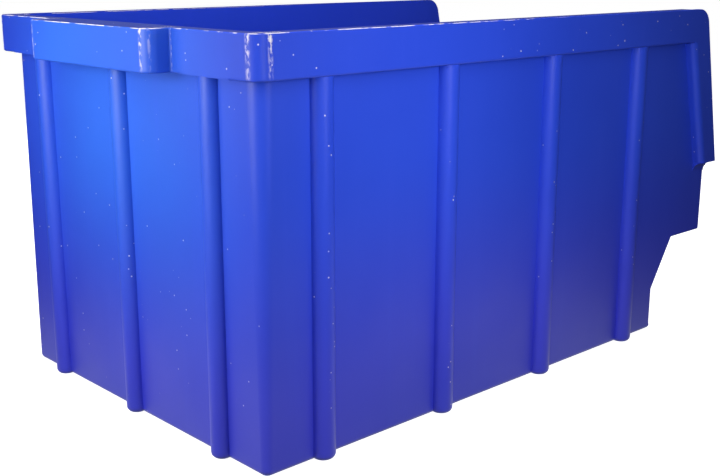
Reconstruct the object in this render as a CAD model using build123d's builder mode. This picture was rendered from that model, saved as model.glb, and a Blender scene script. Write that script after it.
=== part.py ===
from build123d import *
import os

# Stackable storage bin with a stepped hopper front and a hanging lip on its rear rim.
# Front faces -Y, rear faces +Y, the left side is -X, +Z is up. The origin is the middle of
# the bin's bounding box, on the surface that it stands on. All dimensions in millimetres.
# The real bin is one polypropylene moulding. Here each wall, flute, rim member and step of
# that moulding is a closed solid of its own, and neighbours meet face to face.

os.makedirs("parts", exist_ok=True)

# Overall size
LENGTH = 350.0  # hanging lip to the tip of the mouth
WIDTH = 210.0  # across the two side rims
HEIGHT = 182.0
WALL = 2.2  # moulded wall thickness
FLOOR = 3.0  # floor thickness

# Walls
RIM_OUT = 6.0  # the rim stands this far out from the walls
LIP_OUT = 17.5  # the hanging lip stands this far out from the rear wall
BASE_LENGTH = 282.5
POST = 10.0  # each rear corner post takes up this much of both walls
POST_RADIUS_BASE = 3.5
POST_RADIUS_TOP = 7.5
FOOT_ROUND = 2.7  # lower edges of the floor and of the flutes' feet

# Flutes, the half-round ribs pressed out of the walls
REAR_RIB_RADIUS = 5.0
SIDE_RIB_RADIUS = 5.5
FLUTE_CAP = 4.0  # closed stretch at the top of each flute
REAR_RIB_PITCH = 68.6
SIDE_RIB_PITCH = 74.1
SIDE_RIB_FIRST = 31.3  # first side rib to the rear wall
SIDE_RIB_COUNT = 4

# Rim
SKIRT = 18.0  # height of the rim's downward skirt
RIM_TOP_ROUND = 0.5
RIM_LOW_ROUND = 1.0
LIP_HALF = 50.0  # half the width of the hanging lip
LIP_CORNER = 5.5
LIP_CREASE = 0.8  # sharp hollow where the lip leaves the rear rim
LIP_NODE_HALF = 57.0  # the lip's node takes in this much of the rear rim

# Hopper front
KICK_HEIGHT = 24.0  # lower, upright stretch of the front
STEP_BACK = 300.5  # rear wall to the back of the ledge
LEDGE_HEIGHT = 52.0
FRONT_BACK = 330.0  # rear wall to the front wall
MOUTH_LOW = 96.0  # top of the front lip
BEND = 1.2  # inner radius of the bends of the front
FRONT_SEAM = 72.0  # height where the ledge's node meets the front wall
FRONT_LIP_FOOT = 84.0
FRONT_BEAD = 5.5  # height of the bead along the front lip
BEAD_ROUND = 1.0
CHEEK_LENGTH = 7.0  # each cheek reaches this far behind the kick wall
OUTER_ROUND = 0.8  # outer edges of the cheeks

# Mouth flanges, where the side walls step out to the line of the rim
MOUTH_TOP_BACK = 312.7  # rear wall to the mouth edge, at rim height
MOUTH_CORNER = 9.5
STEP_TOP_BACK = 295.6  # rear wall to the step of the flange, at rim height
STEP_LOW_BACK = 318.3  # and at the bottom of the flange
STEP_ROUND = 3.5
COVE = 6.0  # hollow round under each flange

# Card rails on the front wall
CARD_HALF = 42.0
RAIL = 3.5  # width of a rail
RAIL_FOOT = 1.8  # width of the part of a rail that touches the wall
RAIL_OUT = 2.2
RAIL_GAP = 1.0  # room behind a rail for a card
RAIL_LOW = 57.0
RAIL_TOP = 82.0

# Picking edges: places nearer than TOUCH are one place, and a pick keeps MARGIN clear of the rest
TOUCH = 0.01
MARGIN = 1.0

# Worked out from the above
REAR = LENGTH / 2 - LIP_OUT  # outer face of the rear wall
WALL_HALF = WIDTH / 2 - RIM_OUT  # outer face of a side wall
INNER_HALF = WALL_HALF - WALL
RIM_HALF = WIDTH / 2
RIM_REAR = REAR + RIM_OUT
LIP_FACE = REAR + LIP_OUT
KICK = REAR - BASE_LENGTH
FRONT = REAR - FRONT_BACK
TIP = -LENGTH / 2
SKIRT_LOW = HEIGHT - SKIRT
WEB_LOW = HEIGHT - WALL
FLANGE_LOW = MOUTH_LOW - WALL
FLUTE_TOP = SKIRT_LOW - FLUTE_CAP
SIDE_RIBS = [REAR - SIDE_RIB_FIRST - i * SIDE_RIB_PITCH for i in range(SIDE_RIB_COUNT)]
REAR_RIBS = [-REAR_RIB_PITCH, 0.0, REAR_RIB_PITCH]


def finish(part, name):
    part.label = name
    export_step(part, f"parts/{name}.step")


def finish_pair(right_part, name):
    # The right-hand piece as it stands, and its mirror image on the left.
    finish(right_part, f"right_{name}")
    with BuildPart() as left:
        mirror(right_part, about=Plane.YZ)
    finish(left.part, f"left_{name}")


def step_line(z):
    # Place of a flange's step at height z: it leans forward as it goes down.
    rise = (z - FLANGE_LOW) / (HEIGHT - FLANGE_LOW)
    return REAR - STEP_LOW_BACK + rise * (STEP_LOW_BACK - STEP_TOP_BACK)


def mouth_line(z):
    # Place of the mouth's edge at height z.
    rise = (z - MOUTH_LOW) / (HEIGHT - MOUTH_LOW)
    return TIP + rise * (REAR - MOUTH_TOP_BACK - TIP)


def outer_edges(part, x):
    # Edges that lie wholly in the plane at x.
    return part.edges().filter_by(lambda e: abs(e.bounding_box().min.X - x) < TOUCH
                                  and abs(e.bounding_box().max.X - x) < TOUCH)


# ---------------------------------------------------------------- floor

def make_foot(radius):
    # The closed lower end of a flute, a disc with a rounded lower edge. Half of it is in the floor.
    with BuildPart() as foot:
        with BuildSketch(Plane.XY):
            Circle(radius)
        extrude(amount=FLOOR)
        fillet(foot.edges().group_by(Axis.Z)[0], FOOT_ROUND)
    return foot.part


with BuildPart() as floor_plate:
    with BuildSketch(Plane.XY) as footprint:
        with Locations((0, (REAR + KICK) / 2)):
            Rectangle(2 * WALL_HALF, BASE_LENGTH)
        fillet(footprint.vertices().group_by(Axis.Y)[-1], POST_RADIUS_BASE)
    extrude(amount=FLOOR)
    fillet(floor_plate.edges().group_by(Axis.Z)[0], FOOT_ROUND)
    with Locations(*[(x, REAR) for x in REAR_RIBS]):
        add(make_foot(REAR_RIB_RADIUS))
    with Locations(*[(side * WALL_HALF, y) for side in (-1, 1) for y in SIDE_RIBS]):
        add(make_foot(SIDE_RIB_RADIUS))
finish(floor_plate.part, "floor_plate")

# ---------------------------------------------------------------- rear wall and corner posts

with BuildPart() as rear_wall:
    with BuildSketch(Plane.XY.offset(FLOOR)):
        with Locations((0, REAR - WALL / 2)):
            Rectangle(2 * (WALL_HALF - POST), WALL)
    extrude(amount=HEIGHT - FLOOR)
    with BuildSketch(Plane.XY.offset(FLOOR)):
        with Locations(*[(x, REAR - WALL / 2) for x in REAR_RIBS]):
            Rectangle(2 * (REAR_RIB_RADIUS - WALL), WALL)
    extrude(amount=FLUTE_TOP - FLOOR, mode=Mode.SUBTRACT)
finish(rear_wall.part, "rear_wall")

with BuildPart() as corner_post:
    for z, radius in ((FLOOR, POST_RADIUS_BASE), (WEB_LOW, POST_RADIUS_TOP), (HEIGHT, POST_RADIUS_TOP)):
        with BuildSketch(Plane.XY.offset(z)):
            with BuildLine():
                Polyline(
                    (WALL_HALF - POST, REAR),
                    (WALL_HALF - radius, REAR),
                )
                CenterArc((WALL_HALF - radius, REAR - radius), radius, 0, 90)
                Polyline(
                    (WALL_HALF, REAR - radius),
                    (WALL_HALF, REAR - POST),
                    (INNER_HALF, REAR - POST),
                    (INNER_HALF, REAR - radius),
                )
                CenterArc((WALL_HALF - radius, REAR - radius), radius - WALL, 0, 90)
                Polyline(
                    (WALL_HALF - radius, REAR - WALL),
                    (WALL_HALF - POST, REAR - WALL),
                    (WALL_HALF - POST, REAR),
                )
            make_face()
    loft(ruled=True)
finish_pair(corner_post.part, "corner_post")

# ---------------------------------------------------------------- side walls

with BuildPart() as side_wall:
    wall_front = KICK + CHEEK_LENGTH
    with BuildSketch(Plane.YZ.offset(INNER_HALF)):
        with Locations(((wall_front + REAR - POST) / 2, (FLOOR + HEIGHT) / 2)):
            Rectangle(REAR - POST - wall_front, HEIGHT - FLOOR)
    extrude(amount=WALL)
    with BuildSketch(Plane.YZ.offset(INNER_HALF)):
        with Locations(*[(y, (FLOOR + FLUTE_TOP) / 2) for y in SIDE_RIBS]):
            Rectangle(2 * (SIDE_RIB_RADIUS - WALL), FLUTE_TOP - FLOOR)
    extrude(amount=WALL, mode=Mode.SUBTRACT)
finish_pair(side_wall.part, "wall")

# ---------------------------------------------------------------- flutes


def make_rib(plane, radius, top):
    # A half-round rib that stands on the floor's rim. The plane's x runs along the wall, its y out of it.
    with BuildPart() as rib:
        with BuildSketch(plane.offset(FLOOR)):
            Circle(radius)
            Rectangle(2 * radius, radius, align=(Align.CENTER, Align.MAX), mode=Mode.SUBTRACT)
        extrude(amount=top - FLOOR)
        with BuildSketch(plane.offset(FLOOR)):
            Circle(radius - WALL)
            Rectangle(2 * radius, radius, align=(Align.CENTER, Align.MAX), mode=Mode.SUBTRACT)
        extrude(amount=FLUTE_TOP - FLOOR, mode=Mode.SUBTRACT)
    return rib.part


for number, x in enumerate(REAR_RIBS, start=1):
    rib_top = WEB_LOW if abs(x) < LIP_HALF else SKIRT_LOW
    rear_plane = Plane(origin=(x, REAR, 0), x_dir=(1, 0, 0), z_dir=(0, 0, 1))
    finish(make_rib(rear_plane, REAR_RIB_RADIUS, rib_top), f"rear_rib_{number}")

for number, y in enumerate(SIDE_RIBS, start=1):
    right_plane = Plane(origin=(WALL_HALF, y, 0), x_dir=(0, -1, 0), z_dir=(0, 0, 1))
    finish_pair(make_rib(right_plane, SIDE_RIB_RADIUS, SKIRT_LOW), f"rib_{number}")

# ---------------------------------------------------------------- rim

rim_back = REAR - POST
with BuildPart() as side_rim:
    # Skirt as far as the step of the flange, with its lower edge rounded
    with BuildSketch(Plane.YZ.offset(RIM_HALF - WALL)):
        with BuildLine():
            Polyline(
                (rim_back, SKIRT_LOW),
                (rim_back, HEIGHT),
                (step_line(HEIGHT), HEIGHT),
                (step_line(SKIRT_LOW), SKIRT_LOW),
                close=True,
            )
        make_face()
    extrude(amount=WALL)
    fillet(outer_edges(side_rim, RIM_HALF).group_by(Axis.Z)[0], RIM_LOW_ROUND)
    # Its front end, from the step to the edge of the mouth
    with BuildSketch(Plane.YZ.offset(RIM_HALF - WALL)) as front_end:
        with BuildLine():
            Polyline(
                (step_line(SKIRT_LOW), SKIRT_LOW),
                (step_line(HEIGHT), HEIGHT),
                (mouth_line(HEIGHT), HEIGHT),
                (mouth_line(SKIRT_LOW), SKIRT_LOW),
                close=True,
            )
        make_face()
        fillet(front_end.vertices().group_by(Axis.Y)[-1].sort_by(Axis.X)[0], MOUTH_CORNER)
    extrude(amount=WALL)
    # Top web from the wall out to the skirt, and the web that closes its front end
    with BuildSketch(Plane.YZ.offset(WALL_HALF)):
        with BuildLine():
            Polyline(
                (rim_back, WEB_LOW),
                (rim_back, HEIGHT),
                (step_line(HEIGHT), HEIGHT),
                (step_line(WEB_LOW), WEB_LOW),
                close=True,
            )
        make_face()
    extrude(amount=RIM_OUT)
    with BuildSketch(Plane.YZ.offset(INNER_HALF)):
        with BuildLine():
            Polyline(
                (step_line(SKIRT_LOW), SKIRT_LOW),
                (step_line(HEIGHT), HEIGHT),
                (step_line(HEIGHT) - WALL, HEIGHT),
                (step_line(SKIRT_LOW) - WALL, SKIRT_LOW),
                close=True,
            )
        make_face()
    extrude(amount=RIM_HALF - INNER_HALF)
    mouth_and_top_edges = outer_edges(side_rim, RIM_HALF).filter_by(
        lambda e: e.center().Z > SKIRT_LOW + RIM_LOW_ROUND + MARGIN
        and e.center().Y < rim_back - MARGIN)
    fillet(mouth_and_top_edges, RIM_TOP_ROUND)
finish_pair(side_rim.part, "rim")


def on_rim_face(edge):
    # True for an edge of the outer face of the right-hand rim corner.
    at = edge @ 0.5
    reach = (at - Vector(WALL_HALF, REAR, at.Z)).length
    around = edge.geom_type == GeomType.CIRCLE and abs(reach - RIM_OUT) < TOUCH
    return around or abs(at.X - RIM_HALF) < TOUCH or abs(at.Y - RIM_REAR) < TOUCH


with BuildPart() as rim_corner:
    with BuildSketch(Plane.XY.offset(SKIRT_LOW)) as corner_outline:
        with BuildLine():
            Line((WALL_HALF - POST, REAR), (WALL_HALF - POST, RIM_REAR))
            Line((WALL_HALF - POST, RIM_REAR), (RIM_HALF - RIM_OUT, RIM_REAR))
            CenterArc((RIM_HALF - RIM_OUT, RIM_REAR - RIM_OUT), RIM_OUT, 0, 90)
            Line((RIM_HALF, RIM_REAR - RIM_OUT), (RIM_HALF, rim_back))
            Line((RIM_HALF, rim_back), (WALL_HALF, rim_back))
            Line((WALL_HALF, rim_back), (WALL_HALF, REAR - POST_RADIUS_TOP))
            CenterArc((WALL_HALF - POST_RADIUS_TOP, REAR - POST_RADIUS_TOP), POST_RADIUS_TOP, 0, 90)
            Line((WALL_HALF - POST_RADIUS_TOP, REAR), (WALL_HALF - POST, REAR))
        make_face()
    extrude(amount=SKIRT)
    with BuildSketch(Plane.XY.offset(SKIRT_LOW)):
        with BuildLine():
            Line((WALL_HALF - POST, REAR - POST), (WALL_HALF - POST, RIM_REAR - WALL))
            Line((WALL_HALF - POST, RIM_REAR - WALL), (RIM_HALF - RIM_OUT, RIM_REAR - WALL))
            CenterArc((RIM_HALF - RIM_OUT, RIM_REAR - RIM_OUT), RIM_OUT - WALL, 0, 90)
            Line((RIM_HALF - WALL, RIM_REAR - RIM_OUT), (RIM_HALF - WALL, rim_back))
            Line((RIM_HALF - WALL, rim_back), (WALL_HALF - POST, rim_back))
        make_face()
    extrude(amount=SKIRT - WALL, mode=Mode.SUBTRACT)
    rim_corner_top = rim_corner.faces().sort_by(Axis.Z)[-1].edges()
    fillet(rim_corner_top.filter_by(on_rim_face), RIM_TOP_ROUND)
    rim_corner_low = rim_corner.faces().sort_by(Axis.Z)[0].edges()
    fillet(rim_corner_low.filter_by(on_rim_face), RIM_LOW_ROUND)
finish_pair(rim_corner.part, "rim_corner")

with BuildPart() as rear_rim:
    rear_rim_length = WALL_HALF - POST - LIP_NODE_HALF
    with BuildSketch(Plane.YZ.offset(LIP_NODE_HALF)) as rear_rim_section:
        with BuildLine():
            Polyline(
                (REAR, WEB_LOW),
                (REAR, HEIGHT),
                (RIM_REAR, HEIGHT),
                (RIM_REAR, SKIRT_LOW),
                (RIM_REAR - WALL, SKIRT_LOW),
                (RIM_REAR - WALL, WEB_LOW),
                close=True,
            )
        make_face()
        rim_face = rear_rim_section.vertices().group_by(Axis.X)[-1].sort_by(Axis.Y)
        fillet(rim_face[-1], RIM_TOP_ROUND)
        fillet(rim_face[0], RIM_LOW_ROUND)
    extrude(amount=rear_rim_length)
finish_pair(rear_rim.part, "rear_rim")


def lip_outline(inset):
    # Plan of the hanging lip and the rear rim beside it, drawn inset from the outer face.
    half = LIP_HALF - inset
    with BuildSketch() as plan:
        with BuildLine():
            Polyline(
                (-LIP_NODE_HALF, REAR),
                (-LIP_NODE_HALF, RIM_REAR - inset),
                (-half, RIM_REAR - inset),
                (-half, LIP_FACE - inset),
                (half, LIP_FACE - inset),
                (half, RIM_REAR - inset),
                (LIP_NODE_HALF, RIM_REAR - inset),
                (LIP_NODE_HALF, REAR),
                close=True,
            )
        make_face()
        fillet(plan.vertices().group_by(Axis.Y)[-1], LIP_CORNER - inset)
        creases = plan.vertices().filter_by(
            lambda v: abs(v.Y - RIM_REAR + inset) < TOUCH and abs(v.X) < LIP_NODE_HALF - MARGIN)
        fillet(creases, LIP_CREASE + inset)
    return plan.sketch


def on_lip_face(edge):
    # True for an edge of the outer face of the hanging lip's node.
    at = edge @ 0.5
    beyond_wall = at.Y > RIM_REAR - WALL / 2
    along_ends = abs(at.X) > LIP_HALF - WALL / 2 and beyond_wall and abs(at.X) < LIP_NODE_HALF - TOUCH
    corner_reach = Vector(abs(at.X) - LIP_HALF + LIP_CORNER, at.Y - LIP_FACE + LIP_CORNER).length
    return along_ends or at.Y > LIP_FACE - TOUCH or abs(corner_reach - LIP_CORNER) < TOUCH


with BuildPart() as hanging_lip:
    with BuildSketch(Plane.XY.offset(SKIRT_LOW)):
        add(lip_outline(0))
    extrude(amount=SKIRT)
    with BuildSketch(Plane.XY.offset(SKIRT_LOW)):
        add(lip_outline(WALL))
    extrude(amount=SKIRT - WALL, mode=Mode.SUBTRACT)
    top_edges = hanging_lip.faces().sort_by(Axis.Z)[-1].edges()
    fillet(top_edges.filter_by(
        lambda e: e.center().Y > REAR + MARGIN
        and abs(e.center().X) < LIP_NODE_HALF - TOUCH), RIM_TOP_ROUND)
    low_edges = hanging_lip.faces().sort_by(Axis.Z)[0].edges()
    fillet(low_edges.filter_by(on_lip_face), RIM_LOW_ROUND)
finish(hanging_lip.part, "hanging_lip")

# ---------------------------------------------------------------- hopper front

# Outline of the front, outer face, from the floor up: kick wall, slope, ledge, front wall
BEND_LOW = (KICK, KICK_HEIGHT)
BEND_MIDDLE = (REAR - STEP_BACK, LEDGE_HEIGHT)
BEND_TOP = (FRONT, LEDGE_HEIGHT)


def middle(a, b):
    return ((a[0] + b[0]) / 2, (a[1] + b[1]) / 2)


def inward(a, b):
    # Unit normal of the stretch from a to b, towards the inside of the bin.
    run = Vector(b[0] - a[0], b[1] - a[1]).normalized()
    return Vector(run.Y, -run.X)


def bent_panel(start, bend, end, outer_radius, inner_radius):
    # A panel across the bin with one bend, WALL thick inward from the outline.
    first = inward(start, bend)
    second = inward(bend, end)
    corner = Vector(*bend) + (first + second) * (WALL / (1 + first.dot(second)))
    inner_start = Vector(*start) + first * WALL
    inner_end = Vector(*end) + second * WALL
    with BuildPart() as panel:
        with BuildSketch(Plane.YZ.offset(-INNER_HALF)) as section:
            with BuildLine():
                Polyline(start, bend, end, inner_end, corner, inner_start, close=True)
            make_face()
            fillet(section.vertices().sort_by_distance(Vector(*bend))[0], outer_radius)
            fillet(section.vertices().sort_by_distance(corner)[0], inner_radius)
        extrude(amount=2 * INNER_HALF)
    return panel.part


seam_low = middle(BEND_LOW, BEND_MIDDLE)
seam_middle = middle(BEND_MIDDLE, BEND_TOP)
finish(bent_panel((KICK, FLOOR), BEND_LOW, seam_low, BEND, BEND + WALL), "front_kick_wall")
finish(bent_panel(seam_low, BEND_MIDDLE, seam_middle, BEND, BEND + WALL), "front_slope")
finish(bent_panel(seam_middle, BEND_TOP, (FRONT, FRONT_SEAM), BEND, BEND), "front_ledge")

with BuildPart() as front_wall:
    with BuildSketch(Plane.XY.offset(FRONT_SEAM)):
        with Locations((0, FRONT + WALL / 2)):
            Rectangle(2 * INNER_HALF, WALL)
    extrude(amount=FRONT_LIP_FOOT - FRONT_SEAM)
finish(front_wall.part, "front_wall")

with BuildPart() as front_lip:
    with BuildSketch(Plane.YZ.offset(-INNER_HALF)) as lip_section:
        with BuildLine():
            Polyline(
                (FRONT + WALL, FRONT_LIP_FOOT),
                (FRONT + WALL, MOUTH_LOW),
                (TIP, MOUTH_LOW),
                (TIP, MOUTH_LOW - FRONT_BEAD),
                (FRONT, MOUTH_LOW - FRONT_BEAD),
                (FRONT, FRONT_LIP_FOOT),
                close=True,
            )
        make_face()
        bead_corners = ((FRONT + WALL, MOUTH_LOW), (TIP, MOUTH_LOW), (TIP, MOUTH_LOW - FRONT_BEAD))
        fillet([lip_section.vertices().sort_by_distance(Vector(*c))[0] for c in bead_corners], BEAD_ROUND)
    extrude(amount=2 * INNER_HALF)
    # The bead runs on in front of the two cheeks, below the mouth flanges
    with BuildSketch(Plane.XZ.offset(-FRONT)):
        with Locations((0, (MOUTH_LOW - FRONT_BEAD + FLANGE_LOW) / 2)):
            Rectangle(2 * WALL_HALF, FLANGE_LOW + FRONT_BEAD - MOUTH_LOW)
    extrude(amount=FRONT - TIP)
finish(front_lip.part, "front_lip")

with BuildPart() as hopper_cheek:
    with BuildSketch(Plane.YZ.offset(INNER_HALF)) as cheek_outline:
        with BuildLine():
            Polyline(
                (KICK + CHEEK_LENGTH, FLOOR),
                (KICK, FLOOR),
                BEND_LOW,
                BEND_MIDDLE,
                BEND_TOP,
                (FRONT, FLANGE_LOW),
                (step_line(FLANGE_LOW), FLANGE_LOW),
                (step_line(HEIGHT), HEIGHT),
                (KICK + CHEEK_LENGTH, HEIGHT),
                close=True,
            )
        make_face()
        bends = (BEND_LOW, BEND_MIDDLE, BEND_TOP)
        fillet([cheek_outline.vertices().sort_by_distance(Vector(*b))[0] for b in bends], BEND)
    extrude(amount=WALL)
    cheek_edges = outer_edges(hopper_cheek, WALL_HALF).filter_by(
        lambda e: e.center().Y < KICK + TOUCH and e.center().Z < FLANGE_LOW - MARGIN)
    fillet(cheek_edges, OUTER_ROUND)
finish_pair(hopper_cheek.part, "hopper_cheek")

# ---------------------------------------------------------------- mouth flanges

with BuildPart() as mouth_flange:
    with BuildSketch(Plane.YZ.offset(INNER_HALF)):
        with BuildLine():
            Polyline(
                (step_line(FLANGE_LOW), FLANGE_LOW),
                (step_line(SKIRT_LOW), SKIRT_LOW),
                (mouth_line(SKIRT_LOW), SKIRT_LOW),
                (TIP, MOUTH_LOW),
                (TIP, FLANGE_LOW),
                close=True,
            )
        make_face()
    extrude(amount=RIM_HALF - INNER_HALF)
    step_edge = outer_edges(mouth_flange, RIM_HALF).filter_by(
        lambda e: abs(e.center().Y - step_line(e.center().Z)) < TOUCH)
    fillet(step_edge, STEP_ROUND)
    mouth_edge = outer_edges(mouth_flange, RIM_HALF).filter_by(
        lambda e: abs(e.center().Y - mouth_line(e.center().Z)) < TOUCH)
    fillet(mouth_edge, RIM_TOP_ROUND)
    # Hollow side of the flange, open to the inside of the bin and at the mouth
    with BuildSketch(Plane.YZ.offset(INNER_HALF)):
        with BuildLine():
            Polyline(
                (step_line(MOUTH_LOW) - WALL, MOUTH_LOW),
                (step_line(SKIRT_LOW) - WALL, SKIRT_LOW),
                (mouth_line(SKIRT_LOW) - WALL, SKIRT_LOW),
                (TIP - WALL, MOUTH_LOW),
                close=True,
            )
        make_face()
    extrude(amount=RIM_HALF - INNER_HALF - WALL, mode=Mode.SUBTRACT)
    # Hollow round from the flange's underside to the cheek
    with BuildSketch(Plane.XZ.offset(-step_line(FLANGE_LOW))):
        with BuildLine():
            Line((WALL_HALF, FLANGE_LOW), (RIM_HALF, FLANGE_LOW))
            CenterArc((RIM_HALF, FLANGE_LOW - COVE), COVE, 90, 90)
            Line((WALL_HALF, FLANGE_LOW - COVE), (WALL_HALF, FLANGE_LOW))
        make_face()
    extrude(amount=step_line(FLANGE_LOW) - FRONT)
finish_pair(mouth_flange.part, "mouth_flange")

# ---------------------------------------------------------------- card rails

with BuildPart() as card_rail:
    with BuildSketch(Plane.XY.offset(RAIL_LOW)):
        with BuildLine():
            Polyline(
                (CARD_HALF + RAIL, FRONT),
                (CARD_HALF + RAIL, FRONT - RAIL_OUT),
                (CARD_HALF, FRONT - RAIL_OUT),
                (CARD_HALF, FRONT - RAIL_GAP),
                (CARD_HALF + RAIL - RAIL_FOOT, FRONT - RAIL_GAP),
                (CARD_HALF + RAIL - RAIL_FOOT, FRONT),
                close=True,
            )
        make_face()
    extrude(amount=RAIL_TOP - RAIL_LOW)
finish_pair(card_rail.part, "card_rail")

with BuildPart() as card_stop:
    with BuildSketch(Plane.XY.offset(RAIL_LOW - RAIL_FOOT)):
        with Locations((0, FRONT - RAIL_OUT / 2)):
            Rectangle(2 * (CARD_HALF + RAIL), RAIL_OUT)
    extrude(amount=RAIL_FOOT)
finish(card_stop.part, "card_stop")
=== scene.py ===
import bmesh
import bpy
import math
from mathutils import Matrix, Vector


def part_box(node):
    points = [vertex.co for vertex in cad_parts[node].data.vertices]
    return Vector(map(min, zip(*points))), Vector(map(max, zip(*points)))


# Stackable storage bin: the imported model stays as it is, and gets its moulded plastic here.
# Metres, front towards -Y, rear wall and hanging lip towards +Y, left side towards -X.
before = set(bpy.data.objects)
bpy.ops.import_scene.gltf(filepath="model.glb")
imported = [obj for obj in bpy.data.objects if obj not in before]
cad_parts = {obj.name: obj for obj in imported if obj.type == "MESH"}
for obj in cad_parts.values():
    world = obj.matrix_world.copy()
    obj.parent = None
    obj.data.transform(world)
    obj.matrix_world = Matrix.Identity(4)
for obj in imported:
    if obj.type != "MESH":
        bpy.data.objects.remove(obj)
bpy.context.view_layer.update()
scene = bpy.context.scene

# Camera
EYE = Vector((-0.4285, 0.4106, 0.2078))
AZIMUTH = math.radians(227.12)
ELEVATION = math.radians(14.21)
LENS = 54.69
SENSOR = 36.0
CLIP_NEAR = 0.01
CLIP_FAR = 50.0
BACK = Vector((
    math.sin(AZIMUTH) * math.cos(ELEVATION),
    -math.cos(AZIMUTH) * math.cos(ELEVATION),
    math.sin(ELEVATION),
))

# Stage: a glowing floor and dome for the camera, and a patch of glow for the bin's gloss
STAGE_HALF = 8.0
DOME_RINGS = 24
FLOOR_GLOW = 0.96
FLOOR_REFLECTED = 0.6
DOME_GLOW = 1.0
PAPER_ROUGHNESS = 0.9
WORLD_GLOW = 0.06
GLEAM_HALF = 4.0
GLEAM_HEIGHT = -0.002
GLEAM = 1.05
GLEAM_REST = 0.05
GLEAM_NEAR = 0.15
GLEAM_FAR = 0.42
GLEAM_CENTRE = (-0.1, 0.1, 0.0)

# Lights: name, place, the place it faces, size, power, and whether it shows in the bin's shine
REAR_AIM = (0, 0.157, 0.11)
SIDE_AIM = (-0.1, 0, 0.10)
BODY_AIM = (-0.05, 0.05, 0.10)
LIGHTS = (
    ("rear_spot_left", (-0.07, 0.31, 0.17), REAR_AIM, 0.10, 0.13, False),
    ("rear_spot_right", (0.03, 0.29, 0.16), REAR_AIM, 0.10, 0.16, False),
    ("rear_near", (-0.04, 0.42, 0.18), REAR_AIM, 0.12, 0.27, True),
    ("rear_high", (-0.15, 0.45, 0.35), REAR_AIM, 0.2, 0.21, True),
    ("corner", (-0.60, 0.70, 0.60), BODY_AIM, 0.4, 0.9, True),
    ("side_near", (-0.30, 0.10, 0.18), SIDE_AIM, 0.12, 0.42, False),
    ("side_high", (-0.25, 0.16, 0.30), SIDE_AIM, 0.12, 0.09, True),
    ("overhead", (0, 0.10, 0.60), BODY_AIM, 0.3, 1.94, True),
    ("front_fill", (0.15, -0.90, 0.75), (0, -0.15, 0.08), 0.5, 4.5, False),
    ("right_fill", (0.85, 0.05, 0.40), (0.1, 0, 0.09), 0.5, 4.0, False),
)

# Pigments; the rear and foot blues also hold painted light and shade
# Painted light: brighter, greener blue where the light falls on the rear wall
REAR_LIT_BLUE = (0.026, 0.128, 0.68, 1)
FRONT_BLUE = (0.022, 0.066, 0.66, 1)
# Painted shade: darker, violet blue at the foot
FOOT_SHADED_BLUE = (0.042, 0.050, 0.63, 1)
CLOUD_BLUE = (0.006, 0.030, 0.45, 1)
FLOW_BLUE = (0.05, 0.09, 0.75, 1)
# Painted shade on the flat top of the rim
TOP_SHADE_BLUE = (0.012, 0.020, 0.20, 1)
# Pale white of dust, stress marks and the rim's top edge line, which is partly a painted highlight
PALE_WEAR_AND_HIGHLIGHT = (0.86, 0.80, 0.82, 1)

# Where each colour, painted light or shade, or mark comes in: the value at which it is absent, then the
# one where it is full
REAR_ALONG = (-0.10, 0.17)
REAR_ACROSS = (0.115, 0.02)
ABOVE_FOOT = (0.01, 0.13)
CLOUD_RANGE = (0.35, 0.7)
FLOW_RANGE = (0.5, 0.75)
RIM_TOP = (0.1815, 0.1818)
RIM_EDGE = (0.1816, 0.1818)
FACING_UP = (0.9, 0.99)
FACING_OUT = (0.99, 0.9)
# The rim's top edge line, partly a painted highlight: its breaks, and its fade towards the front
EDGE_BREAK_RANGE = (0.42, 0.56)
EDGE_LINE_ALONG = (-0.06, 0.08)
MARK_RANGE = (0.42, 0.62)
SPECK_RANGE = (0.11, 0.06)
SPECK_CHOSEN = (0.74, 0.76)
DUST_PATCHES = (0.38, 0.50)

# How much of each is mixed in
CLOUD_AMOUNT = 0.22
FLOW_AMOUNT = 0.07
TOP_SHADE_AMOUNT = 0.85
EDGE_LINE_AMOUNT = 0.9
DUST_AMOUNT = 0.75
MARK_LEAST = 0.4  # strength of a mark at the rim's lower edge
MARK_GAIN = 0.6

# Noise scales, finer as they grow
CLOUD_SCALE = 9
DUST_PATCH_SCALE = 13
WAVE_SCALE = 22
POLISH_SCALE = 35
EDGE_BREAK_SCALE = 140
FLOW_SCALE = 160
DUST_SCALE = 250
MARK_SCALE = 900
GRAIN_SCALE = 1400
FLOW_STRETCH = (1, 1, 0.035)
MARK_STRETCH = (1, 1, 0.5)

# Surface of the plastic
IOR = 1.49
ROUGHNESS = 0.36
ROUGHNESS_SPREAD = 0.16
ROUGHNESS_ADDED = 0.25
GRAIN_STRENGTH = 0.12
GRAIN_HEIGHT = 0.0002
WAVE_STRENGTH = 0.25
WAVE_HEIGHT = 0.002

# Places of the stress marks, and the width and strength of each
RIM_HEIGHT = 0.182
SKIRT_FOOT = 0.164
SKIRT_SOFT = 0.002
LIP_BEND_IN = 0.0112  # end of the lip's node to the bend at the end of its face
LIP_BEND_TO_FAINT = 0.0032
LIP_BEND_TO_CREASE = 0.0051
CORNER_MARK = 0.0042  # side face of the rim to the mark on its rear face
CORNER_MARK_SIDE = 0.0080
CORNER_REAR_LINE = (0.0014, 1.0)
CORNER_SIDE_LINE = (0.0016, 1.0)
LIP_BEND_LINE = (0.0011, 1.0)
LIP_FAINT_LINE = (0.0006, 0.3)
LIP_CREASE_LINE = (0.0005, 0.55)


def make_camera():
    data = bpy.data.cameras.new("camera")
    data.lens = LENS
    data.sensor_width = SENSOR
    data.clip_start = CLIP_NEAR
    data.clip_end = CLIP_FAR
    camera = bpy.data.objects.new("camera", data)
    scene.collection.objects.link(camera)
    camera.location = EYE
    camera.rotation_mode = "QUATERNION"
    camera.rotation_quaternion = (-BACK).to_track_quat("-Z", "Y")
    scene.camera = camera


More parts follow.
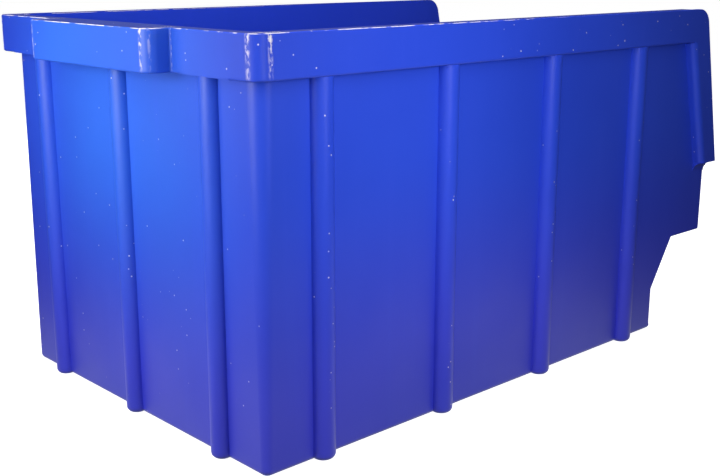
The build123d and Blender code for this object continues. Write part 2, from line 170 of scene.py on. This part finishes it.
def area_light(name, place, target, size, power, gloss):
    # A square light; one without gloss lights the bin but doesn't show in its shine.
    data = bpy.data.lights.new(name, "AREA")
    data.size = size
    data.energy = power
    light = bpy.data.objects.new(name, data)
    scene.collection.objects.link(light)
    light.location = place
    light.rotation_mode = "QUATERNION"
    light.rotation_quaternion = (Vector(target) - Vector(place)).to_track_quat("-Z", "Y")
    light.visible_glossy = gloss


def glowing_paper(name, reflected, glow):
    # White paper whose own glow keeps the set bright without lighting the bin.
    material = bpy.data.materials.new(name)
    material.use_nodes = True
    shader = material.node_tree.nodes["Principled BSDF"]
    shader.inputs["Base Color"].default_value = (reflected, reflected, reflected, 1)
    shader.inputs["Roughness"].default_value = PAPER_ROUGHNESS
    shader.inputs["Emission Color"].default_value = (1, 1, 1, 1)
    shader.inputs["Emission Strength"].default_value = glow
    return material


def plane_mesh(name, half, height):
    mesh = bpy.data.meshes.new(name)
    corners = [(-half, -half, height), (half, -half, height), (half, half, height), (-half, half, height)]
    mesh.from_pydata(corners, [], [(0, 1, 2, 3)])
    return mesh


def gleam_material():
    # Glow that is strongest under the bin and fades with distance, for the bin's gloss alone.
    material = bpy.data.materials.new("studio_gleam")
    material.use_nodes = True
    nodes, links = material.node_tree.nodes, material.node_tree.links
    shader = nodes["Principled BSDF"]
    shader.inputs["Base Color"].default_value = (0, 0, 0, 1)
    shader.inputs["Emission Color"].default_value = (1, 1, 1, 1)
    coords = nodes.new("ShaderNodeTexCoord")
    reach = nodes.new("ShaderNodeVectorMath")
    reach.operation = "DISTANCE"
    links.new(coords.outputs["Object"], reach.inputs[0])
    reach.inputs[1].default_value = GLEAM_CENTRE
    fade = nodes.new("ShaderNodeMapRange")
    fade.interpolation_type = "SMOOTHSTEP"
    fade.inputs["From Min"].default_value = GLEAM_NEAR
    fade.inputs["From Max"].default_value = GLEAM_FAR
    fade.inputs["To Min"].default_value = GLEAM
    fade.inputs["To Max"].default_value = GLEAM_REST
    links.new(reach.outputs["Value"], fade.inputs["Value"])
    links.new(fade.outputs["Result"], shader.inputs["Emission Strength"])
    return material


def make_stage():
    floor_mesh = plane_mesh("studio_floor", STAGE_HALF, 0)
    floor_mesh.materials.append(glowing_paper("studio_paper", FLOOR_REFLECTED, FLOOR_GLOW))
    floor = bpy.data.objects.new("studio_floor", floor_mesh)
    dome_mesh = bpy.data.meshes.new("studio_dome")
    builder = bmesh.new()
    bmesh.ops.create_uvsphere(builder, u_segments=2 * DOME_RINGS, v_segments=DOME_RINGS, radius=STAGE_HALF)
    builder.to_mesh(dome_mesh)
    builder.free()
    dome_mesh.materials.append(glowing_paper("studio_dome", 0.0, DOME_GLOW))
    dome = bpy.data.objects.new("studio_dome", dome_mesh)
    gleam_mesh = plane_mesh("studio_gleam", GLEAM_HALF, GLEAM_HEIGHT)
    gleam_mesh.materials.append(gleam_material())
    gleam = bpy.data.objects.new("studio_gleam", gleam_mesh)
    for piece in (floor, dome, gleam):
        scene.collection.objects.link(piece)
        piece.visible_diffuse = False
        piece.visible_glossy = piece is gleam
        piece.visible_camera = piece is not gleam
    dome.visible_shadow = False
    gleam.visible_shadow = False


class Graph:
    """Short ways to add shader nodes. A socket argument may also be a number."""

    def __init__(self, name):
        self.material = bpy.data.materials.new(name)
        self.material.use_nodes = True
        self.tree = self.material.node_tree
        self.shader = self.tree.nodes["Principled BSDF"]
        self.place = self.tree.nodes.new("ShaderNodeTexCoord").outputs["Object"]
        self.x, self.y, self.z = self.split(self.place)

    def feed(self, socket, value):
        if isinstance(value, bpy.types.NodeSocket):
            self.tree.links.new(value, socket)
        else:
            socket.default_value = value

    def split(self, vector):
        node = self.tree.nodes.new("ShaderNodeSeparateXYZ")
        self.feed(node.inputs[0], vector)
        return node.outputs

    def maths(self, operation, first, second=0.0):
        node = self.tree.nodes.new("ShaderNodeMath")
        node.operation = operation
        self.feed(node.inputs[0], first)
        self.feed(node.inputs[1], second)
        return node.outputs[0]

    def product(self, first, *others):
        for other in others:
            first = self.maths("MULTIPLY", first, other)
        return first

    def ease(self, value, low, high):
        # 0 where the value is at low, 1 where it is at high, smooth between them.
        node = self.tree.nodes.new("ShaderNodeMapRange")
        node.interpolation_type = "SMOOTHSTEP"
        self.feed(node.inputs["Value"], value)
        node.inputs["From Min"].default_value = low
        node.inputs["From Max"].default_value = high
        return node.outputs["Result"]

    def noise(self, scale, detail=2.0, stretch=(1, 1, 1)):
        mapping = self.tree.nodes.new("ShaderNodeMapping")
        self.feed(mapping.inputs["Vector"], self.place)
        mapping.inputs["Scale"].default_value = stretch
        node = self.tree.nodes.new("ShaderNodeTexNoise")
        self.feed(node.inputs["Vector"], mapping.outputs["Vector"])
        node.inputs["Scale"].default_value = scale
        node.inputs["Detail"].default_value = detail
        return node.outputs["Fac"]

    def mix(self, amount, first, second):
        node = self.tree.nodes.new("ShaderNodeMix")
        node.data_type = "RGBA"
        self.feed(node.inputs[0], amount)
        self.feed(node.inputs[6], first)
        self.feed(node.inputs[7], second)
        return node.outputs[2]


def near(graph, value, line, reach):
    # 1 on a line across the surface, fading to 0 at the given reach from it.
    away = graph.maths("ABSOLUTE", graph.maths("SUBTRACT", value, line))
    return graph.ease(away, reach, 0.0)


def dust(graph):
    # Scattered pale specks: the few Voronoi cells that a second, random test lets through.
    cells = graph.tree.nodes.new("ShaderNodeTexVoronoi")
    cells.inputs["Scale"].default_value = DUST_SCALE
    graph.feed(cells.inputs["Vector"], graph.place)
    speck = graph.ease(cells.outputs["Distance"], *SPECK_RANGE)
    chosen = graph.ease(graph.split(cells.outputs["Color"])[0], *SPECK_CHOSEN)
    settled = graph.ease(graph.noise(DUST_PATCH_SCALE, 1), *DUST_PATCHES)
    return graph.product(speck, chosen, settled)


def bin_plastic(name, bends):
    """Blue moulded polypropylene. Each bend is (axis, place, width, strength) of a line where
    the rim was flexed and the plastic turned white; |x| counts, so a line is on both sides."""
    graph = Graph(name)
    shader = graph.shader
    shader.inputs["IOR"].default_value = IOR

    # Painted light and shade: the blue is painted brighter and greener towards the rear and the top, where
    # the light falls, and darker and violet near the foot
    sides = {"x": graph.maths("ABSOLUTE", graph.x), "y": graph.y}
    rear = graph.product(graph.ease(graph.y, *REAR_ALONG), graph.ease(sides["x"], *REAR_ACROSS))
    high = graph.ease(graph.z, *ABOVE_FOOT)
    upper = graph.mix(rear, FRONT_BLUE, REAR_LIT_BLUE)
    pigment_light_and_shade = graph.mix(high, FOOT_SHADED_BLUE, upper)
    cloud = graph.ease(graph.noise(CLOUD_SCALE, 3), *CLOUD_RANGE)
    pigment_light_and_shade = graph.mix(graph.product(cloud, CLOUD_AMOUNT), pigment_light_and_shade, CLOUD_BLUE)
    flow = graph.ease(graph.noise(FLOW_SCALE, 2, FLOW_STRETCH), *FLOW_RANGE)
    pigment_light_and_shade = graph.mix(graph.product(flow, FLOW_AMOUNT), pigment_light_and_shade, FLOW_BLUE)

    # Painted shade: the flat top of the rim is painted dark, and made duller
    facing = graph.tree.nodes.new("ShaderNodeNewGeometry")
    up = graph.split(facing.outputs["Normal"])[2]
    shaded_top = graph.product(graph.ease(graph.z, *RIM_TOP), graph.ease(up, *FACING_UP))
    pigment_light_and_shade = graph.mix(graph.product(shaded_top, TOP_SHADE_AMOUNT), pigment_light_and_shade, TOP_SHADE_BLUE)

    # Wear and painted highlight: a pale broken line on the rim's top edge, partly scuffing and partly a
    # painted highlight that fades towards the front; dust; and stress marks at the bends
    edge = graph.product(
        graph.ease(graph.z, *RIM_EDGE),
        graph.ease(up, *FACING_OUT),
        graph.ease(graph.noise(EDGE_BREAK_SCALE, 4), *EDGE_BREAK_RANGE),
        graph.ease(graph.y, *EDGE_LINE_ALONG),
    )
    wear_and_highlight = graph.product(edge, EDGE_LINE_AMOUNT)
    wear_and_highlight = graph.maths("MAXIMUM", wear_and_highlight, graph.product(dust(graph), DUST_AMOUNT))
    broken = graph.ease(graph.noise(MARK_SCALE, 2, MARK_STRETCH), *MARK_RANGE)
    skirt = graph.ease(graph.z, SKIRT_FOOT, SKIRT_FOOT + SKIRT_SOFT)
    for axis, place, width, strength in bends:
        line = near(graph, sides[axis], place, width)
        height = graph.ease(graph.z, SKIRT_FOOT, RIM_HEIGHT)
        fade = graph.maths("ADD", graph.product(height, MARK_GAIN), MARK_LEAST)
        mark = graph.product(line, fade, skirt, broken, strength)
        wear_and_highlight = graph.maths("MAXIMUM", wear_and_highlight, mark)
    graph.feed(shader.inputs["Base Color"], graph.mix(wear_and_highlight, pigment_light_and_shade, PALE_WEAR_AND_HIGHLIGHT))

    # Satin gloss, duller on the worn and marked places and on the flat top of the rim, over a very fine
    # mould texture
    polish = graph.maths("ADD", graph.product(graph.noise(POLISH_SCALE, 3), ROUGHNESS_SPREAD), ROUGHNESS)
    roughened = graph.maths("MAXIMUM", wear_and_highlight, shaded_top)
    graph.feed(shader.inputs["Roughness"], graph.maths("ADD", polish, graph.product(roughened, ROUGHNESS_ADDED)))
    grain = graph.tree.nodes.new("ShaderNodeBump")
    grain.inputs["Strength"].default_value = GRAIN_STRENGTH
    grain.inputs["Distance"].default_value = GRAIN_HEIGHT
    graph.feed(grain.inputs["Height"], graph.noise(GRAIN_SCALE, 2))
    waves = graph.tree.nodes.new("ShaderNodeBump")
    waves.inputs["Strength"].default_value = WAVE_STRENGTH
    waves.inputs["Distance"].default_value = WAVE_HEIGHT
    graph.feed(waves.inputs["Height"], graph.noise(WAVE_SCALE, 1))
    graph.feed(waves.inputs["Normal"], grain.outputs["Normal"])
    graph.feed(shader.inputs["Normal"], waves.outputs["Normal"])
    return graph.material


make_camera()
make_stage()
lip_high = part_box("hanging_lip")[1]
corner_low, corner_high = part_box("left_rim_corner")
lip_bend = lip_high[0] - LIP_BEND_IN
lip_crease = lip_bend + LIP_BEND_TO_CREASE
finishes = {
    "plain": bin_plastic("bin_plastic", []),
    "corner": bin_plastic("bin_plastic_corner", [
        ("x", -corner_low[0] - CORNER_MARK, *CORNER_REAR_LINE),
        ("y", corner_high[1] - CORNER_MARK_SIDE, *CORNER_SIDE_LINE),
    ]),
    "lip": bin_plastic("bin_plastic_lip", [
        ("x", lip_bend, *LIP_BEND_LINE),
        ("x", lip_bend + LIP_BEND_TO_FAINT, *LIP_FAINT_LINE),
        ("x", lip_crease, *LIP_CREASE_LINE),
    ]),
}
for name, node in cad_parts.items():
    if name == "hanging_lip":
        finish = finishes["lip"]
    elif name.endswith("rim_corner"):
        finish = finishes["corner"]
    else:
        finish = finishes["plain"]
    node.data.materials.clear()
    node.data.materials.append(finish)

for light in LIGHTS:
    area_light(*light)
world = bpy.data.worlds.new("studio")
world.use_nodes = True
world.node_tree.nodes["Background"].inputs["Color"].default_value = (1, 1, 1, 1)
world.node_tree.nodes["Background"].inputs["Strength"].default_value = WORLD_GLOW
scene.world = world
scene.view_settings.view_transform = "Standard"
